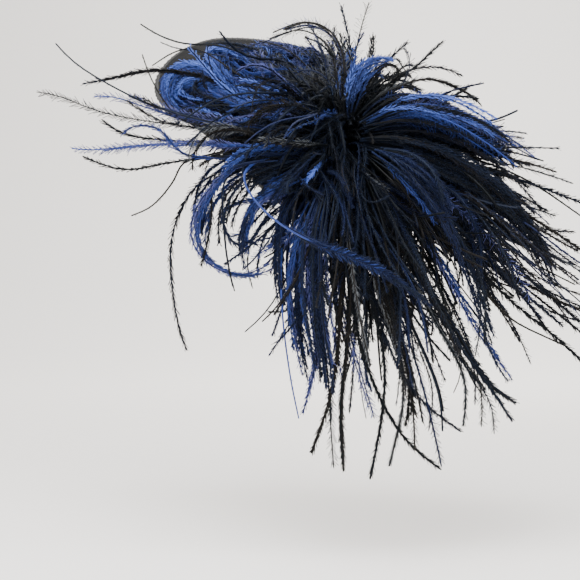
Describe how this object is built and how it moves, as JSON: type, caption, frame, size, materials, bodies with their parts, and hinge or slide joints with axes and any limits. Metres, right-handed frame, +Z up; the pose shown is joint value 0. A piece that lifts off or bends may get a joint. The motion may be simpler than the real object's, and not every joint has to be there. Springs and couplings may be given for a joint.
{
  "type": "feather fascinator",
  "caption": "Teardrop fascinator base with a piped rim and hair comb, carrying a drooping burst of black and blue ostrich barbs from one pad.",
  "frame": {"origin": "middle of the base's concave underside, where it sits on the hair", "axes": "as worn on the left side of the head: +Z up, -X the way the wearer faces, -Y out from the wearer's left side"},
  "size_m": [0.2913, 0.1784, 0.2477],
  "materials": {
    "felt": "matte speckled black felt",
    "piping": "black binding with fine stitches",
    "comb": "plain black plastic",
    "pad": "matte black felt",
    "black_feather": "soft black ostrich barbs",
    "blue_feather": "soft royal blue ostrich barbs"
  },
  "bodies": {
    "root": {"base": "felt", "rim_piping": "piping", "comb": "comb", "feather_pad": "pad", "black_plume_1": "black_feather", "black_plume_2": "black_feather", "black_plume_3": "black_feather", "black_plume_4": "black_feather", "black_plume_5": "black_feather", "black_plume_6": "black_feather", "black_plume_7": "black_feather", "black_plume_8": "black_feather", "black_plume_9": "black_feather", "black_plume_10": "black_feather", "black_plume_11": "black_feather", "black_plume_12": "black_feather", "blue_plume_1": "blue_feather", "blue_plume_2": "blue_feather", "blue_plume_3": "blue_feather", "blue_plume_4": "blue_feather", "blue_plume_5": "blue_feather", "blue_plume_6": "blue_feather", "blue_plume_7": "blue_feather", "blue_plume_8": "blue_feather"}
  },
  "joints": []
}
